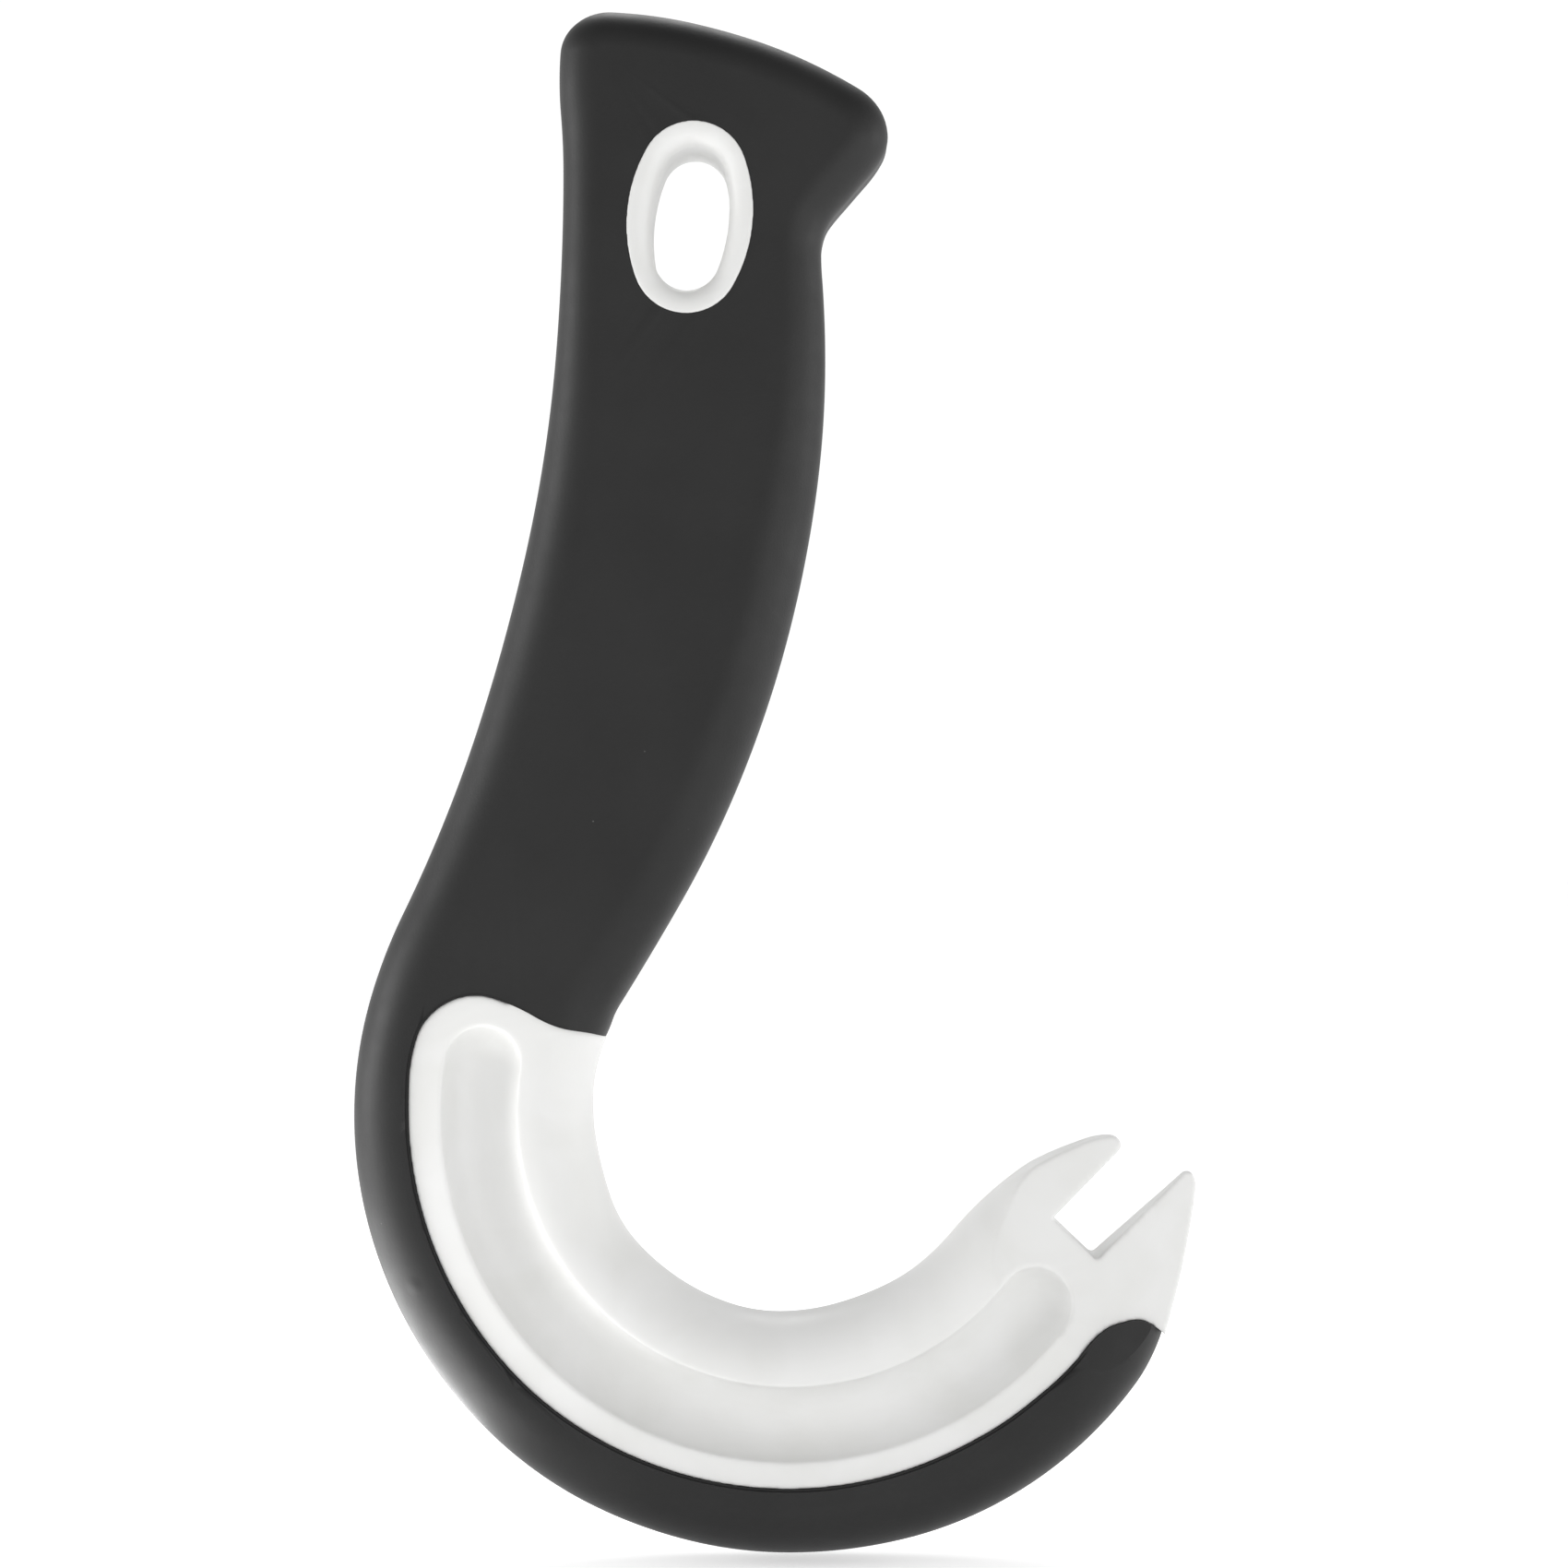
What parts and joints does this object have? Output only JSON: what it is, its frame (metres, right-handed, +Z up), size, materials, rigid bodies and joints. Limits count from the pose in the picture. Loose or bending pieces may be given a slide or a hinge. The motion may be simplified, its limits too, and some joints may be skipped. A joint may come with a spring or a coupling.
{
  "type": "ring-pull can opener",
  "caption": "J-shaped hand tool with a soft over-moulded grip and a rigid hook ending in a notched fork, for lifting ring-pull can tabs and carton rings.",
  "frame": {"origin": "centre of the hanging eyelet's hole, on the middle plane of the thickness", "axes": "+Z up along the handle to the butt, +X towards the open side of the hook, Y through the thickness; both faces are alike"},
  "size_m": [0.0875, 0.0132, 0.1597],
  "materials": {
    "white_plastic": "satin, injection moulded",
    "black_soft_grip": "matt, fine spark-eroded texture"
  },
  "bodies": {
    "root": {"rigid_core": "white_plastic", "soft_grip": "black_soft_grip"}
  },
  "joints": []
}
